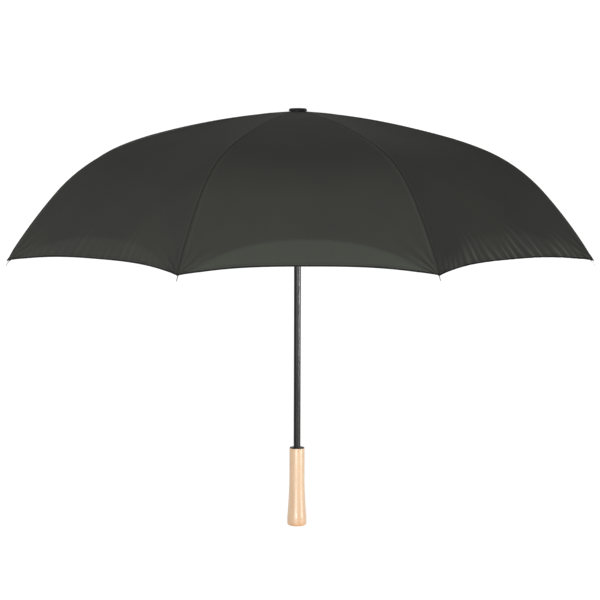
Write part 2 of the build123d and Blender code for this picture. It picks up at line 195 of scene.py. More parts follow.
def fold_ridges(panel, u, across, up):
    """Height of the fan of folds above a panel's hem, 0 to 1, and how far it has faded up the cloth."""
    _, lean, spacing, length, _, _ = PANEL_FOLDS[panel]
    spacing, length = spacing * MM, length * MM
    way = math.copysign(1, lean)
    lean_here = lean - (lean + FAN_LEAN * way) * (1 - soft_step(u * way + 0.6, 0.3))
    wander = 0.22 * np.sin(across * 27 + panel) + 0.10 * np.sin(across * 71 + 2 * panel)
    turns = (across + lean_here * up) / spacing * (1 + 0.2 * u ** 2) + wander
    strong_share = 0.74 + 0.26 * np.sin(across * 97 + 2.1 * panel)
    strong = (0.5 + 0.5 * np.cos(2 * math.pi * turns)) ** RIDGE_POWER * strong_share
    fine_share = 0.5 - 0.5 * np.sin(across * 61 + panel)
    fine = (0.5 + 0.5 * np.cos(2 * math.pi * FINE_FOLDS * turns + 1.1 * panel)) ** 2 * fine_share
    ridge = np.minimum(strong + FINE_HEIGHT * fine, 1)
    reach = length * (0.8 + 0.3 * np.sin(across * 47 + 1.7 * panel)) * (1.15 - 0.6 * u ** 2)
    return ridge, np.exp(-((up / reach) ** 2)) * (1 - 0.5 * np.abs(u) ** 6)


def folds(panel, u, s, across, up):
    """How far the cloth stands out in its folds: across is the distance from the panel's middle."""
    depth = PANEL_FOLDS[panel][0] * MM
    ridge, fade = fold_ridges(panel, u, across, up)
    from_rib = (1 - np.abs(u)) * np.abs(across / np.where(np.abs(u) < 1e-6, 1e-6, u))
    down = RIB_LENGTH - s
    reach = np.hypot(from_rib, down)
    angle = np.arctan2(from_rib, down + 1e-6)
    gather = GATHER_DEPTH * np.cos(GATHER_FOLDS * angle + panel)
    gather = gather * np.exp(-((reach / GATHER_REACH) ** 2)) * np.tanh(reach / GATHER_START)
    pulls = depth * (ridge - RIDGE_MEAN) * fade * np.clip(0.3 + up / HEM_HOLD, 0, 1)
    return pulls + gather * np.tanh(from_rib / SEAM_HOLD)


def band_depth(panel, u, up):
    """How far inside the turned-down band above the hem a point is."""
    return PANEL_FOLDS[panel][5] * MM * (1 - np.abs(u) ** 2.2) - up


def cloth_point(panel, u, s, depth=0.0):
    """Points of a panel drawn about +X, with u from -1 to 1 across it, at a depth under its outside."""
    r, z, slope = rib_curve(s)
    half_width = r * math.sin(HALF)
    across = u * half_width
    steep = np.arctan(np.tan(slope) / math.cos(HALF))
    normal = np.stack([np.sin(steep), np.zeros_like(steep), np.cos(steep)], -1)
    base = np.stack([r * math.cos(HALF) + 0 * u, across, z + 0 * u], -1)
    up = hem_at(u) - s
    middle = 1 - u ** 2
    out = -SAG * middle * np.sin(np.clip(s / RIB_LENGTH, 0, 1) * math.pi) ** 2
    beside_rib = np.minimum(1, 6 * (1 - np.abs(u)))
    out = out - BAND_TURN * soft_ramp(band_depth(panel, u, up), BAND_BEND) * beside_rib
    out = out + folds(panel, u, s, across, np.maximum(up, 0))
    from_rib = (1 - np.abs(u)) * half_width
    seam = sum(height * np.exp(-(((from_rib - place) / width) ** 2)) for height, place, width in SEAM_RELIEF)
    out = out + seam * np.clip(half_width / SEAM_FADE, 0, 1)
    out = out + BINDING_BULGE * soft_step(BINDING - up, BINDING_EDGE)
    return base + normal * (out - depth)[..., None]


def turned(points, angle):
    """Points turned about the shaft's axis."""
    c, s = math.cos(angle), math.sin(angle)
    x, y, z = points[..., 0], points[..., 1], points[..., 2]
    return np.stack([c * x - s * y, s * x + c * y, z], -1)


def cloth_normal(panel, u, s):
    """The outward normal with all folds, from points close by."""
    du, ds = 1e-3, 0.4 * MM
    inside = np.sign(-u + (u == 0)) * du
    a = cloth_point(panel, u, s)
    across = (cloth_point(panel, u + inside, s) - a) * np.sign(inside)[..., None]
    along = cloth_point(panel, u, s + ds) - cloth_point(panel, u, s - ds)
    n = np.cross(along, across)
    return n / np.linalg.norm(n, axis=-1, keepdims=True)


KNUCKLE = rod_point(FLEX_AT)
KNUCKLE_SLOPE = float(rib_curve(FLEX_AT)[2])


def knuckle_line(v):
    """Where the cloth crosses the plane square to a rib at its knuckle, v from 0 at the rib to 1 mid-panel.

    The crossing is found by halving, in far more steps than the mesh needs.
    """
    way = np.array([math.cos(KNUCKLE_SLOPE), 0, -math.sin(KNUCKLE_SLOPE)])
    low, high = np.full(v.shape, FLEX_AT), np.full(v.shape, RIB_LENGTH)
    for _ in range(40):
        s = (low + high) / 2
        r, z, _ = rib_curve(s)
        x = r * (1 - v * math.sin(HALF) ** 2)
        short = (x - KNUCKLE.x) * way[0] + (z - KNUCKLE.z) * way[2] < 0
        low, high = np.where(short, s, low), np.where(short, high, s)
    return low


# ---------------------------------------------------------------- mesh helpers


def new_object(name, verts, faces, smooth=True):
    mesh = bpy.data.meshes.new(name)
    mesh.from_pydata([tuple(v) for v in verts], [], faces)
    mesh.polygons.foreach_set("use_smooth", [smooth] * len(mesh.polygons))
    obj = bpy.data.objects.new(name, mesh)
    bpy.context.scene.collection.objects.link(obj)
    return obj


def point_attribute(obj, name, values):
    layer = obj.data.attributes.new(name, "FLOAT", "POINT")
    layer.data.foreach_set("value", np.asarray(values, np.float32).ravel())


def shell_faces(rows, columns, flipped=False):
    """A thin closed shell over a grid: the outer side's quads, the rim round it, and all faces."""
    count = rows * columns
    index = np.arange(count).reshape(rows, columns)
    quads = np.stack([index[:-1, :-1], index[1:, :-1], index[1:, 1:], index[:-1, 1:]], -1).reshape(-1, 4)
    edge = np.concatenate([index[0, :], index[1:, -1], index[-1, -2::-1], index[-2:0:-1, 0]])
    after = np.roll(edge, -1)
    rim = np.stack([edge, after, after + count, edge + count], -1)
    if flipped:
        quads, rim = quads[:, ::-1], rim[:, ::-1]
    return quads, rim, np.concatenate([quads, quads[:, ::-1] + count, rim])


def rib_angle(rib):
    return FIRST_RIB + 2 * HALF * (rib - 1)


def zone_end(place, v):
    """Distance along the cloth of one end of a zone, v from 0 at the rib to 1 mid-panel."""
    if place == "knuckle":
        return knuckle_line(v)
    if place == "hem":
        return hem_at(1 - v)
    return np.full(v.shape, place)


def cloth_normals(obj, verts, normals, quads, rim):
    """Gives a shell its true normals, so that lengths of cloth meet without a shade, and a sharp rim."""
    loops = np.concatenate([normals[quads.ravel()], -normals[quads[:, ::-1].ravel()]])
    corners = verts[rim]
    rim_normals = np.cross(corners[:, 2] - corners[:, 0], corners[:, 3] - corners[:, 1])
    rim_normals /= np.maximum(np.linalg.norm(rim_normals, axis=1, keepdims=True), 1e-12)
    loops = np.concatenate([loops, np.repeat(rim_normals, 4, axis=0)])
    obj.data.normals_split_custom_set(loops.tolist())


def cloth_attributes(obj, panel, u, s, up, from_rib, across):
    """Tells the cloth's material where each point of a shell lies in its panel, and where light is painted:
    on the folds' crests and on the band above the hem.
    """
    fold_depth, _, _, _, band_light, _ = PANEL_FOLDS[panel]
    soft_edge = (1.4 + 2.2 * (1 - band_light)) * MM
    # Painted light: the band above the hem, and the cloth towards the hem, are painted lighter by each
    # panel's band_light, most on the front panel.
    painted_band_light = soft_step(band_depth(panel, u, up), soft_edge)
    brighter_below = LIGHTER * np.clip((s - LIGHTER_FROM) / LIGHTER_OVER, 0, 1)
    painted_band_light = np.maximum(painted_band_light, brighter_below * band_light) * band_light
    ridge, fade = fold_ridges(panel, u, across, np.maximum(up, 0))
    # Painted highlight: how much lighter each fold's crest is painted, full where the folds are FULL_CREST
    # deep.
    crest_highlight = ridge * fade * min(1.0, fold_depth / FULL_CREST)
    for label, values in (("from_rib", from_rib), ("along_rib", s), ("from_hem", up), ("painted_band_light", painted_band_light),
                          ("crest_highlight", crest_highlight), ("along_hem", across)):
        point_attribute(obj, label, np.concatenate([values.ravel(), values.ravel()]))


def cloth_piece(rib, side, number):
    """The cloth on one side of a rib, over one length of it, as a thin closed shell."""
    start, stop, keep, rows, columns = ZONES[number]
    v = np.concatenate([SEAM_COLUMNS, np.linspace(PANEL_COLUMNS_FROM, 1, columns)])
    t = np.linspace(0, 1, rows + 1)
    if stop == "hem":
        t = np.concatenate([np.linspace(0, HEM_ROWS_FROM, rows + 1 - len(HEM_ROWS)), HEM_ROWS])
    ends = [zone_end(start, v), zone_end(stop, v)]
    s = ends[0][None, :] + (ends[1] - ends[0])[None, :] * t[:, None]
    depth = np.zeros(s.shape)
    if number > 0:
        s = np.concatenate([(ends[0] - LAP)[None, :], s])
        depth = np.concatenate([np.full((1, len(v)), LAP_DEPTH), depth])
    panel = (rib - 1 if side > 0 else rib - 2) % RIBS
    u = np.broadcast_to(side * (v - 1), s.shape)
    centre = rib_angle(rib) + side * HALF
    outer = turned(cloth_point(panel, u, s, depth), centre)
    normal = turned(cloth_normal(panel, u, s), centre)
    up = hem_at(u) - s
    thick = CLOTH - 2 * depth + 2 * BINDING_BULGE * soft_step(BINDING - up, BINDING_EDGE)
    inner = outer - normal * thick[..., None]
    quads, rim, faces = shell_faces(*s.shape, flipped=side < 0)
    verts = np.concatenate([outer.reshape(-1, 3), inner.reshape(-1, 3)])
    side_name = "left" if side > 0 else "right"
    obj = new_object(f"cloth_{rib}_{side_name}_{number + 1}", verts, faces.tolist())
    cloth_normals(obj, verts, normal.reshape(-1, 3), quads, rim)
    r = rib_curve(s)[0]
    from_rib = (1 - np.abs(u)) * r * math.sin(HALF)
    cloth_attributes(obj, panel, u, s, up, from_rib, u * r * math.sin(HALF))
    obj.data.materials.append(MATERIALS["cloth"])
    obj.data.materials.append(MATERIALS["binding"])
    if stop == "hem":
        in_tape = (up < BINDING * 1.02)[1:, 1:].ravel() & (up < BINDING * 1.02)[:-1, 1:].ravel()
        slots = np.concatenate([in_tape, in_tape, np.ones(len(rim), bool)]).astype(np.int32)
        obj.data.polygons.foreach_set("material_index", slots)
    below_knuckle = start == "knuckle" or ends[0][0] > FLEX_AT
    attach(obj, f"rib_outer_{rib}" if below_knuckle else f"rib_inner_{rib}")
    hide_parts(f"canopy_hem_{rib}" if below_knuckle else f"canopy_top_{rib}")
    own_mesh(obj)


# ---------------------------------------------------------------- materials


def material(name, base, roughness, **sockets):
    """A Principled material. A socket's name has _ for each space."""
    m = bpy.data.materials.new(name)
    m.use_nodes = True
    shader = m.node_tree.nodes["Principled BSDF"]
    shader.inputs["Base Color"].default_value = (*base, 1)
    shader.inputs["Roughness"].default_value = roughness
    for socket, value in sockets.items():
        shader.inputs[socket.replace("_", " ")].default_value = value
    return m


class Nodes:
    """Short names for the nodes that the materials are made of."""

    def __init__(self, m):
        self.tree = m.node_tree
        self.shader = m.node_tree.nodes["Principled BSDF"]

    def make(self, kind, **values):
        node = self.tree.nodes.new(kind)
        for key, value in values.items():
            setattr(node, key, value)
        return node

    def link(self, out, into):
        self.tree.links.new(out, into)
        return into

    def put(self, socket, value):
        if isinstance(value, bpy.types.NodeSocket):
            self.link(value, socket)
        else:
            socket.default_value = value

    def math(self, operation, a, b=0.0, c=0.0):
        node = self.make("ShaderNodeMath", operation=operation)
        for socket, value in zip(node.inputs, (a, b, c)):
            self.put(socket, value)
        return node.outputs[0]

    def attribute(self, name):
        return self.make("ShaderNodeAttribute", attribute_name=name).outputs["Fac"]

    def position(self, scale):
        coords = self.make("ShaderNodeTexCoord").outputs["Object"]
        mapping = self.make("ShaderNodeMapping")
        self.link(coords, mapping.inputs["Vector"])
        mapping.inputs["Scale"].default_value = scale
        return mapping.outputs[0]

    def noise(self, vector, scale, detail=3.0, rough=0.5):
        node = self.make("ShaderNodeTexNoise")
        self.link(vector, node.inputs["Vector"])
        node.inputs["Scale"].default_value = scale
        node.inputs["Detail"].default_value = detail
        node.inputs["Roughness"].default_value = rough
        return node.outputs["Fac"]

    def between(self, value, low, high):
        node = self.make("ShaderNodeMapRange", interpolation_type="SMOOTHSTEP")
        self.put(node.inputs["Value"], value)
        node.inputs["From Min"].default_value = low
        node.inputs["From Max"].default_value = high
        return node.outputs[0]

    def mix(self, share, a, b):
        node = self.make("ShaderNodeMix", data_type="RGBA")
        for socket, value in zip((node.inputs[0], node.inputs[6], node.inputs[7]), (share, a, b)):
            self.put(socket, value if isinstance(value, (bpy.types.NodeSocket, float)) else (*value, 1))
        return node.outputs[2]

    def bump(self, height, distance, strength=1.0):
        node = self.make("ShaderNodeBump")
        node.inputs["Strength"].default_value = strength
        node.inputs["Distance"].default_value = distance
        self.link(height, node.inputs["Height"])
        self.link(node.outputs[0], self.shader.inputs["Normal"])


def cloth_material():
    m = material("cloth", (0.027, 0.027, 0.025), 0.7, Specular_IOR_Level=0.05)
    n = Nodes(m)
    place = n.position((1, 1, 1))
    patches = n.between(n.noise(place, 7, 2.0), 0.3, 0.7)
    shade = n.mix(patches, (0.0274, 0.0274, 0.0255), (0.0306, 0.0309, 0.0274))
    slub = n.noise(n.position((1, 1, 0.08)), 900, 2.0)
    shade = n.mix(n.math("MULTIPLY", n.between(slub, 0.45, 0.75), 0.3), shade, (0.036, 0.0365, 0.032))
    # Painted highlight: the crests of the folds above the hem are painted lighter, for the light they catch.
    shade = n.mix(n.math("MULTIPLY", n.attribute("crest_highlight"), 0.95), shade, (0.062, 0.063, 0.055))
    # Painted light: the crescent above the hem, and the lower cloth of panels with a light band, are painted
    # lighter.
    shade = n.mix(n.math("MULTIPLY", n.attribute("painted_band_light"), 0.8), shade, (0.0385, 0.0415, 0.0341))
    across, along = n.attribute("from_rib"), n.attribute("along_rib")
    hem, hem_along = n.attribute("from_hem"), n.attribute("along_hem")
    # Painted highlight: a lighter strip about 5 mm from the rib, where the raised seam catches the light.
    seam_ridge_highlight = n.between(n.math("ABSOLUTE", n.math("SUBTRACT", across, 5 * MM)), 4 * MM, 1 * MM)
    shade = n.mix(n.math("MULTIPLY", seam_ridge_highlight, 0.3), shade, (0.042, 0.043, 0.037))
    # Painted shade: a dark line in the groove of the seam, within about 1.4 mm of the rib.
    shade = n.mix(n.between(across, 1.4 * MM, 0.5 * MM), shade, (0.018, 0.018, 0.0162))
    stitches = []
    for distance, place_along, offset in ((across, along, SEAM_STITCH), (hem, hem_along, HEM_STITCH)):
        line = n.between(n.math("ABSOLUTE", n.math("SUBTRACT", distance, offset)), 0.55 * MM, 0.2 * MM)
        dash = n.math("SINE", n.math("MULTIPLY", place_along, 2 * math.pi / STITCH))
        stitches.append(n.math("MULTIPLY", line, n.between(dash, -0.75, -0.3)))
    stitch = n.math("MAXIMUM", *stitches)
    shade = n.mix(stitch, shade, (0.02, 0.02, 0.018))
    n.link(shade, n.shader.inputs["Base Color"])
    warp = n.math("SINE", n.math("MULTIPLY", across, 2 * math.pi / THREAD))
    weft = n.math("SINE", n.math("MULTIPLY", along, 2 * math.pi / THREAD))
    weave = n.math("MULTIPLY", n.math("ADD", n.math("MULTIPLY", warp, weft), 1.0), 0.5)
    height = n.math("ADD", n.math("MULTIPLY", weave, 0.25), stitch)
    height = n.math("ADD", height, n.math("MULTIPLY", n.noise(place, 60, 3.0), 0.8))
    n.bump(height, 0.15 * MM, 0.6)
    n.link(n.math("ADD", 0.6, n.math("MULTIPLY", slub, 0.16)), n.shader.inputs["Roughness"])
    return m


def binding_material():
    m = material("binding", (0.012, 0.012, 0.011), 0.8, Specular_IOR_Level=0.05)
    n = Nodes(m)
    ribbing = n.math("SINE", n.math("MULTIPLY", n.attribute("along_hem"), 2 * math.pi / (1.1 * MM)))
    fuzz = n.noise(n.position((1, 1, 1)), 1500, 2.0)
    n.link(n.mix(fuzz, (0.008, 0.008, 0.008), (0.02, 0.02, 0.019)), n.shader.inputs["Base Color"])
    n.bump(n.math("ADD", ribbing, fuzz), 0.1 * MM, 0.6)
    return m


def plastic_material(name, tone, rough, gloss=0.25):
    m = material(name, (tone,) * 3, rough, Specular_IOR_Level=gloss)
    n = Nodes(m)
    place = n.position((1, 1, 1))
    grain = n.noise(place, 2600, 2.0)
    wear = n.noise(place, 90, 4.0)
    shade = n.mix(n.between(wear, 0.35, 0.75), (tone * 0.8,) * 3, (tone * 1.5,) * 3)
    n.link(shade, n.shader.inputs["Base Color"])
    n.link(n.math("ADD", rough - 0.06, n.math("MULTIPLY", wear, 0.14)), n.shader.inputs["Roughness"])
    n.bump(grain, 0.04 * MM, 0.5)
    return m


def painted_tube_material():
    m = material("shaft_paint", (0.010, 0.010, 0.0098), 0.3, Coat_Weight=0.1, Coat_Roughness=0.2,
                 Specular_IOR_Level=0.1)
    n = Nodes(m)
    peel = n.noise(n.position((1, 1, 0.35)), 420, 2.0)
    rub = n.noise(n.position((1, 1, 0.03)), 260, 4.0)
    shade = n.mix(n.between(rub, 0.4, 0.8), (0.007, 0.007, 0.0068), (0.013, 0.013, 0.0125))
    n.link(shade, n.shader.inputs["Base Color"])
    n.link(n.math("ADD", 0.17, n.math("MULTIPLY", rub, 0.14)), n.shader.inputs["Roughness"])
    n.bump(peel, 0.03 * MM, 0.35)
    return m


def rod_material():
    m = material("glass_fibre_rod", (0.02, 0.02, 0.02), 0.38, Coat_Weight=0.3, Coat_Roughness=0.2)
    n = Nodes(m)
    fibre = n.noise(n.position((1, 1, 1)), 700, 3.0)
    shade = n.mix(n.between(fibre, 0.35, 0.7), (0.014, 0.014, 0.014), (0.032, 0.032, 0.031))
    n.link(shade, n.shader.inputs["Base Color"])
    n.bump(fibre, 0.04 * MM, 0.5)
    return m


def steel_material(name, tone, rough):
    m = material(name, (tone, tone, tone * 0.98), rough, Metallic=1.0)
    n = Nodes(m)
    drawn = n.noise(n.position((1, 1, 0.05)), 900, 3.0)
    n.link(n.math("ADD", rough - 0.08, n.math("MULTIPLY", drawn, 0.2)), n.shader.inputs["Roughness"])
    n.bump(drawn, 0.02 * MM, 0.4)
    return m


def wood_material():
    m = material("beech", (0.48, 0.31, 0.18), 0.42, Coat_Weight=0.8, Coat_Roughness=0.25)
    n = Nodes(m)
    grain = n.noise(n.position((1.0, 0.55, 0.045)), 150, 5.0, 0.6)
    broad = n.noise(n.position((1.0, 0.6, 0.12)), 28, 3.0)
    fleck = n.noise(n.position((1.0, 1.0, 0.16)), 1300, 2.0)
    shade = n.mix(n.between(grain, 0.32, 0.68), (0.412, 0.268, 0.156), (0.470, 0.322, 0.194))
    shade = n.mix(n.math("MULTIPLY", n.between(broad, 0.35, 0.7), 0.45), shade, (0.40, 0.242, 0.131))
    shade = n.mix(n.math("MULTIPLY", n.between(fleck, 0.6, 0.74), 0.35), shade, (0.36, 0.195, 0.095))
    height = n.make("ShaderNodeSeparateXYZ")
    n.link(n.position((1, 1, 1)), height.inputs[0])
    rim = n.between(height.outputs["Z"], 11 * MM, 1 * MM)
    shade = n.mix(n.math("MULTIPLY", rim, 0.75), shade, (0.43, 0.205, 0.078))
    n.link(shade, n.shader.inputs["Base Color"])
    n.link(n.math("ADD", 0.36, n.math("MULTIPLY", grain, 0.14)), n.shader.inputs["Roughness"])
    n.bump(n.math("ADD", grain, n.math("MULTIPLY", fleck, 0.5)), 0.06 * MM, 0.5)
    return m


MATERIALS = {
    "cloth": cloth_material(),
    "binding": binding_material(),
    "plastic": plastic_material("black_moulding", 0.02, 0.5),
    "cap": plastic_material("cap_moulding", 0.008, 0.5, 0.12),
    "rubber": plastic_material("seal_rubber", 0.012, 0.75),
    "paint": painted_tube_material(),
    "rod": rod_material(),
    "steel": steel_material("drawn_steel", 0.55, 0.3),
    "wire": steel_material("tip_wire", 0.42, 0.36),
    "wood": wood_material(),
}

# ---------------------------------------------------------------- turned and drawn solids


def lathe(name, profile, steps=96):
    """A solid of revolution about Z from (radius, height) points that start and end on the axis."""
    verts, faces, rings = [], [], []
    for r, z in profile:
        if r < 1e-9:
            rings.append([len(verts)])
            verts.append((0, 0, z))
            continue
        rings.append(list(range(len(verts), len(verts) + steps)))
        angles = [2 * math.pi * k / steps for k in range(steps)]
        verts += [(r * math.cos(a), r * math.sin(a), z) for a in angles]
    for a, b in zip(rings, rings[1:]):
        for k in range(steps):
            j = (k + 1) % steps
            if len(a) == 1:
                faces.append((a[0], b[k], b[j]))
            elif len(b) == 1:
                faces.append((a[k], b[0], a[j]))
            else:
                faces.append((a[k], b[k], b[j], a[j]))
    return new_object(name, verts, faces)


def arc_points(centre, radius, start, stop, count):
    """Points of a profile round an arc, start and stop in degrees."""
    angles = [math.radians(start + (stop - start) * k / count) for k in range(count + 1)]
    return [(centre[0] + radius * math.cos(a), centre[1] + radius * math.sin(a)) for a in angles]


def tube(name, points, radius, sides):
    """A round rod along points in the XZ plane, with one radius or one for each point."""
    verts, faces = [], []
    for k, p in enumerate(points):
        way = (points[min(k + 1, len(points) - 1)] - points[max(k - 1, 0)]).normalized()
        side = Vector((0, 1, 0))
        up = side.cross(way)
        size = radius[k] if isinstance(radius, list) else radius
        for j in range(sides):
            a = 2 * math.pi * j / sides
            verts.append(tuple(p + side * (size * math.cos(a)) + up * (size * math.sin(a))))
    for k in range(len(points) - 1):
        for j in range(sides):
            i = (j + 1) % sides
            a, b = k * sides, (k + 1) * sides
            faces.append((a + j, a + i, b + i, b + j))
    faces.append(tuple(reversed(range(sides))))
    faces.append(tuple(range(len(verts) - sides, len(verts))))
    return new_object(name, verts, faces)


def turn_object(obj, rib):
    """Turns a piece drawn over +X to its rib."""
    angle = rib_angle(rib)
    c, s = math.cos(angle), math.sin(angle)
    for v in obj.data.vertices:
        x, y = v.co.x, v.co.y
        v.co.x, v.co.y = c * x - s * y, s * x + c * y
    return obj


def join(objects, name):
    """One object from several, keeping each one's material."""
    verts, faces, slots, materials = [], [], [], []
    for o in objects:
        base = len(verts)
        verts += [tuple(v.co) for v in o.data.vertices]
        for p in o.data.polygons:
            faces.append(tuple(base + k for k in p.vertices))
            m = o.data.materials[p.material_index]
            if m not in materials:
                materials.append(m)
            slots.append(materials.index(m))
        bpy.data.objects.remove(o)
    joined = new_object(name, verts, faces)
    for m in materials:
        joined.data.materials.append(m)
    joined.data.polygons.foreach_set("material_index", slots)
    return joined


def painted(obj, key):
    obj.data.materials.append(MATERIALS[key])
    return obj


def sharpen(obj, degrees=35):
    """Edges sharper than this show as edges."""
    obj.data.set_sharp_from_angle(angle=math.radians(degrees))
    return obj


def plate(at, way, reach, radius, half_thickness, middle=0.0):
    """A flat eye round a pivot, rounded at that end, with an arm along a direction in the XZ plane."""
    side = Vector((0, 1, 0))
    across = side.cross(way)
    outline = [at + way * (radius * math.cos(a)) + across * (radius * math.sin(a))
               for a in [math.radians(90 + 180 * k / 12) for k in range(13)]]
    outline += [at + way * reach - across * radius, at + way * reach + across * radius]
    count = len(outline)
    verts = [tuple(p + side * (middle + sign * half_thickness)) for sign in (-1, 1) for p in outline]
    faces = [tuple(reversed(range(count))), tuple(range(count, 2 * count))]
    faces += [(k, (k + 1) % count, count + (k + 1) % count, count + k) for k in range(count)]
    return new_object("plate", verts, faces, smooth=False)


def down_rib(slope):
    """The direction down a rib that has this slope."""
    return Vector((math.cos(slope), 0, -math.sin(slope)))


def build_rib(rib):
    """The sprung rod, drawn through the knuckle where a folding rib bends, and the fittings at its root, clip
    and tip.
    """
    eye_reach = 9 * MM  # the rod starts here, in the root's ferrule
    stations = np.concatenate([
        np.linspace(eye_reach, FLEX_AT - 20 * MM, 40),
        np.linspace(FLEX_AT - 16 * MM, FLEX_AT + 16 * MM, 13),
        np.linspace(FLEX_AT + 20 * MM, TIP_AT, 30),
    ])
    rod = painted(tube(f"rib_rod_{rib}", [rod_point(s) for s in stations], ROD_R, 14), "rod")
    turn_object(rod, rib)
    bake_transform(rod)
    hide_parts(f"rib_inner_{rib}", f"rib_outer_{rib}")

    root = down_rib(ROOT_SLOPE)
    pivot = rod_point(0)
    parts = [painted(plate(pivot, root, eye_reach, 1.6 * MM, 1.0 * MM), "wire")]
    ferrule = [pivot + root * (d * MM) for d in (7.5, 7.8, 22.4, 23)]
    ferrule_r = [1.9 * MM, 2.2 * MM, 2.2 * MM, 1.9 * MM]
    parts.append(painted(tube("ferrule", ferrule, ferrule_r, 20), "wire"))
    fittings = [turn_object(join(parts, f"rib_root_{rib}"), rib)]

    clip_slope = float(rib_curve(CLIP_AT)[2])
    way = down_rib(clip_slope)
    down = Vector((-math.sin(clip_slope), 0, -math.cos(clip_slope)))
    centre = rod_point(CLIP_AT)
    clip_pivot = centre + down * CLIP_DROP
    sleeve = [centre + way * (d * MM) for d in (-7, -6.6, 6.6, 7)]
    sleeve_r = [2.0 * MM, 2.25 * MM, 2.25 * MM, 2.0 * MM]
    parts = [painted(tube("sleeve", sleeve, sleeve_r, 20), "plastic")]
    cheek_r, cheek_half, cheek_off = 2.6 * MM, 0.45 * MM, 1.55 * MM
    for sign in (-1, 1):
        cheek = plate(clip_pivot, -down, CLIP_DROP, cheek_r, cheek_half, sign * cheek_off)
        parts.append(painted(cheek, "plastic"))
    head = [(0, 2.6), (1.2, 2.55), (1.7, 2.2), (1.7, 2.0), (1.0, 2.0)]
    rivet_profile = [(r * MM, -h * MM) for r, h in head] + [(r * MM, h * MM) for r, h in reversed(head)]
    rivet = lathe("rivet", rivet_profile, 20)
    for v in rivet.data.vertices:
        x, y, z = v.co
        v.co = clip_pivot + Vector((x, z, -y))
    parts.append(painted(rivet, "steel"))
    fittings.append(turn_object(join(parts, f"rib_clip_{rib}"), rib))
    for fitting in fittings:
        sharpen(fitting)
        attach(fitting, f"rib_inner_{rib}")
        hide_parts(f"rib_inner_{rib}")

    end = rod_point(TIP_AT)
    way = down_rib(float(rib_curve(RIB_LENGTH)[2]))
    socket = [end + way * (d * MM) for d in (-12, -11.5, 1.2, 2)]
    socket_r = [1.9 * MM, 2.2 * MM, 2.1 * MM, 1.3 * MM]
    wire = [end + way * (d * MM) for d in (1, 4, 8, 12, 13.4, 13.9)]
    wire_r = [0.9 * MM] * 4 + [0.75 * MM, 0.35 * MM]
    parts = [painted(tube("socket", socket, socket_r, 20), "plastic")]
    parts.append(painted(tube("wire", wire, wire_r, 16), "wire"))
    tip = sharpen(turn_object(join(parts, f"rib_tip_{rib}"), rib), 50)
    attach(tip, f"rib_outer_{rib}")
    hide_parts(f"rib_outer_{rib}")


def build_handle():
    """The turned handle: straight at the top, a parabola's flare, a short land and a rounded end.

    It is hollow like the CAD one: a bore for the shaft from above, and a stepped hole from below.
    """
    _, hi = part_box("handle_grip")
    end_r, top, top_r = hi.x, hi.z, 15.3 * MM
    straight, land_top, land_foot, rim = 92 * MM, 16 * MM, 5 * MM, 5 * MM
    edge, flare_middle, flare_steps = 0.7 * MM, 0.36, 24
    bore, bore_foot = 7.0 * MM, 40 * MM
    plug_r, plug_top, chamfer = 8 * MM, 3 * MM, 0.4 * MM
    screw_r, screw_top = 5.4 * MM, 10 * MM
    a = np.array([top_r, straight])
    b = np.array([top_r + flare_middle * (end_r - top_r), (straight + land_top) / 2])
    c = np.array([end_r, land_top])
    flare = []
    for k in range(flare_steps + 1):
        t = k / flare_steps
        flare.append(tuple((1 - t) * (1 - 2 * t) * a + 4 * t * (1 - t) * b + t * (2 * t - 1) * c))
    profile = [(0, bore_foot), (bore, bore_foot), (bore, top)]
    profile += [(top_r - edge - 1 * MM, top)] + arc_points((top_r - edge, top - edge), edge, 90, 0, 8)
    profile += flare + [(end_r, land_foot + 4 * MM)]
    profile += arc_points((end_r - rim, land_foot), rim, 0, -90, 12)
    profile += [(plug_r + chamfer, 0), (plug_r, chamfer), (plug_r, plug_top)]
    profile += [(screw_r, plug_top), (screw_r, screw_top), (0, screw_top)]
    handle = lathe("handle_wood", profile[::-1], 128)
    sharpen(painted(handle, "wood"), 40)
    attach(handle, "frame")
    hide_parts("handle_grip")


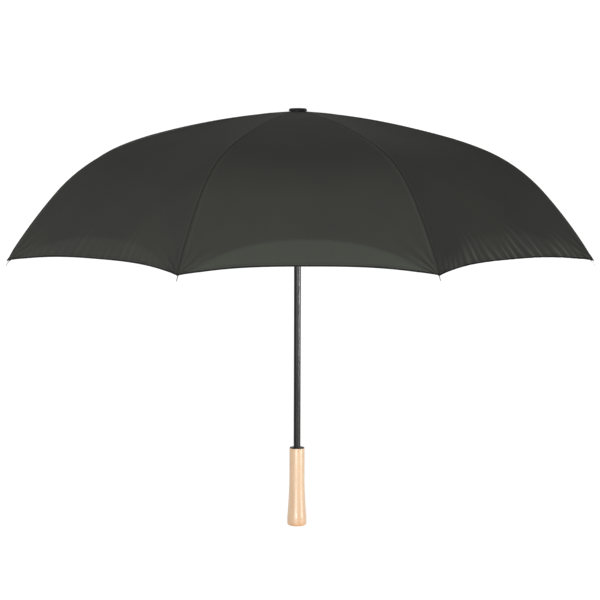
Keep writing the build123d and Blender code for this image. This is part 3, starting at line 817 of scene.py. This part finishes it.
def build_strap():
    """Tie strap over a back rib's seam, with turned edges and a press stud."""
    rib, start, stop, half, lift = 5, 470 * MM, 650 * MM, 9 * MM, 1.0 * MM
    thick, stud_at = 0.9 * MM, start + 12 * MM
    rows, cols = 60, 12
    points, drawn = [], []
    for i in range(rows + 1):
        s = start + (stop - start) * i / rows
        r, z, slope = (float(x) for x in rib_curve(s))
        n = Vector((math.sin(slope), 0, math.cos(slope)))
        end_round = min(1.0, math.sqrt(max(0.0, 1 - (1 - min(1, (s - start) / half)) ** 2)) + 0.02)
        for j in range(cols + 1):
            y = (2 * j / cols - 1) * half * end_round
            droop = 0.10 * abs(y) + 0.28 * abs(y) * math.sin(slope) * 0.6  # with the cloth beside the seam
            crown = 0.25 * MM * (1 - (y / half) ** 2)
            points.append(Vector((r, y, z)) + n * (lift - droop + crown))
            drawn.append((y, s, n))
    count = len(points)
    verts = [tuple(p) for p in points] + [tuple(p - d[2] * thick) for p, d in zip(points, drawn)]
    _, _, faces = shell_faces(rows + 1, cols + 1)
    strap = new_object("tie_strap_cloth", verts, faces.tolist())
    from_edge, along_rib = [half - abs(d[0]) for d in drawn], [d[1] for d in drawn]
    far, none = [1.0] * count, [0.0] * count
    for label, values in (("from_rib", from_edge), ("along_rib", along_rib), ("from_hem", far),
                          ("painted_band_light", none), ("crest_highlight", none), ("along_hem", none)):
        point_attribute(strap, label, values * 2)
    painted(strap, "cloth")
    sharpen(turn_object(strap, rib), 50)
    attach(strap, f"rib_outer_{rib}")
    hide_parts("tie_strap")
    r, z, slope = (float(x) for x in rib_curve(stud_at))
    n = Vector((math.sin(slope), 0, math.cos(slope)))
    at = Vector((r, 0, z)) + n * (lift + 0.2 * MM)
    dome = [(0, 1.5), (2.2, 1.45), (4.4, 1.1), (5.3, 0.5), (5.5, 0.0), (4.8, -0.3), (0, -0.3)]
    stud = lathe("tie_stud", [(r * MM, h * MM) for r, h in reversed(dome)], 40)
    for v in stud.data.vertices:
        x, y, h = v.co
        v.co = at + down_rib(slope) * x + Vector((0, 1, 0)) * y + n * h
    sharpen(turn_object(painted(stud, "steel"), rib), 50)
    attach(stud, f"rib_outer_{rib}")
    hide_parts("tie_strap")


# ---------------------------------------------------------------- put it together
NODES_BY_LOOK = {
    "paint": ["shaft_tube"],
    "steel": ["shaft_end_plug", "cap_stud", "notch_ring_wire", "notch_pin", "top_stop_pin", "shaft_catch",
              "catch_leaf", "runner_ring_wire", "handle_insert", "handle_screw"],
    "rubber": ["cap_seal"],
    "cap": ["top_cap"],
    "plastic": ["top_notch", "runner_body", "release_button", "handle_collar", "handle_end_button"],
    "rod": [f"stretcher_{k}" for k in range(1, RIBS + 1)],
}
for look, nodes in NODES_BY_LOOK.items():
    for node in nodes:
        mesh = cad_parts[node].data
        mesh.materials.clear()
        mesh.materials.append(MATERIALS[look])
for k in range(1, RIBS + 1):
    build_rib(k)
    for side in (-1, 1):
        for zone in range(len(ZONES)):
            cloth_piece(k, side, zone)
build_handle()
build_strap()

# ---------------------------------------------------------------- floor, light and camera


def stage_floor():
    size, level = 60.0, -0.02
    verts = [(-size, -size, level), (size, -size, level), (size, size, level), (-size, size, level)]
    floor = new_object("floor", verts, [(0, 1, 2, 3)])
    m = material("floor_white", (0.3, 0.3, 0.3), 0.9)
    shader = m.node_tree.nodes["Principled BSDF"]
    shader.inputs["Emission Color"].default_value = (1, 1, 1, 1)
    shader.inputs["Emission Strength"].default_value = 0.85
    floor.data.materials.append(m)


def area_light(name, place, target, power, width, height, only=()):
    """A soft box aimed at a point. With only, it lights nothing but those objects."""
    data = bpy.data.lights.new(name, "AREA")
    data.shape = "RECTANGLE"
    data.size = width
    data.size_y = height
    data.energy = power
    light = bpy.data.objects.new(name, data)
    light.location = place
    light.rotation_euler = (Vector(target) - Vector(place)).to_track_quat("-Z", "Y").to_euler()
    bpy.context.scene.collection.objects.link(light)
    if only:
        lit = bpy.data.collections.new(name + "_lights")
        for obj in only:
            lit.objects.link(obj)
        light.light_linking.receiver_collection = lit


def stage_world(level, overhead):
    """White all round, and dimmer overhead than at the level of the horizon."""
    world = bpy.data.worlds.new("studio")
    world.use_nodes = True
    tree = world.node_tree
    background = tree.nodes["Background"]
    background.inputs["Color"].default_value = (1, 1, 1, 1)
    direction = tree.nodes.new("ShaderNodeTexCoord")
    split = tree.nodes.new("ShaderNodeSeparateXYZ")
    fade = tree.nodes.new("ShaderNodeMapRange")
    low, high = 0.15, 0.9  # sines of the angle above the horizon, between which it fades
    for socket, value in (("From Min", low), ("From Max", high), ("To Min", level), ("To Max", overhead)):
        fade.inputs[socket].default_value = value
    tree.links.new(direction.outputs["Generated"], split.inputs[0])
    tree.links.new(split.outputs["Z"], fade.inputs["Value"])
    tree.links.new(fade.outputs[0], background.inputs["Strength"])
    bpy.context.scene.world = world


def stage_camera():
    """A long lens, a little above the canopy and looking slightly down."""
    distance, height = 4.428, 0.886
    turn, pitch, aim = math.radians(2.05), math.radians(5.563), math.radians(0.067)
    lean = math.radians(0.16)
    data = bpy.data.cameras.new("camera")
    data.sensor_width = 36
    data.lens = 134.0
    camera = bpy.data.objects.new("camera", data)
    camera.location = (-distance * math.sin(turn), -distance * math.cos(turn), height)
    camera.rotation_euler = (math.pi / 2 - pitch, 0, -turn - aim)
    camera.rotation_euler.rotate_axis("Z", lean)
    bpy.context.scene.collection.objects.link(camera)
    bpy.context.scene.camera = camera


stage_floor()
stage_world(level=1.02, overhead=0.38)
area_light("front", (-1.1, -4.9, 0.35), (0, 0, 0.6), power=260, width=2.2, height=1.4)
area_light("side", (2.6, -1.5, 0.55), (0, 0, 0.35), power=300, width=0.5, height=1.4,
           only=[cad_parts["shaft_tube"]])
area_light("handle", (3.0, -1.5, 0.3), (0, 0, 0.1), power=90, width=0.7, height=1.0,
           only=[bpy.data.objects["handle_wood"]])
stage_camera()
bpy.context.scene.view_settings.view_transform = "Standard"
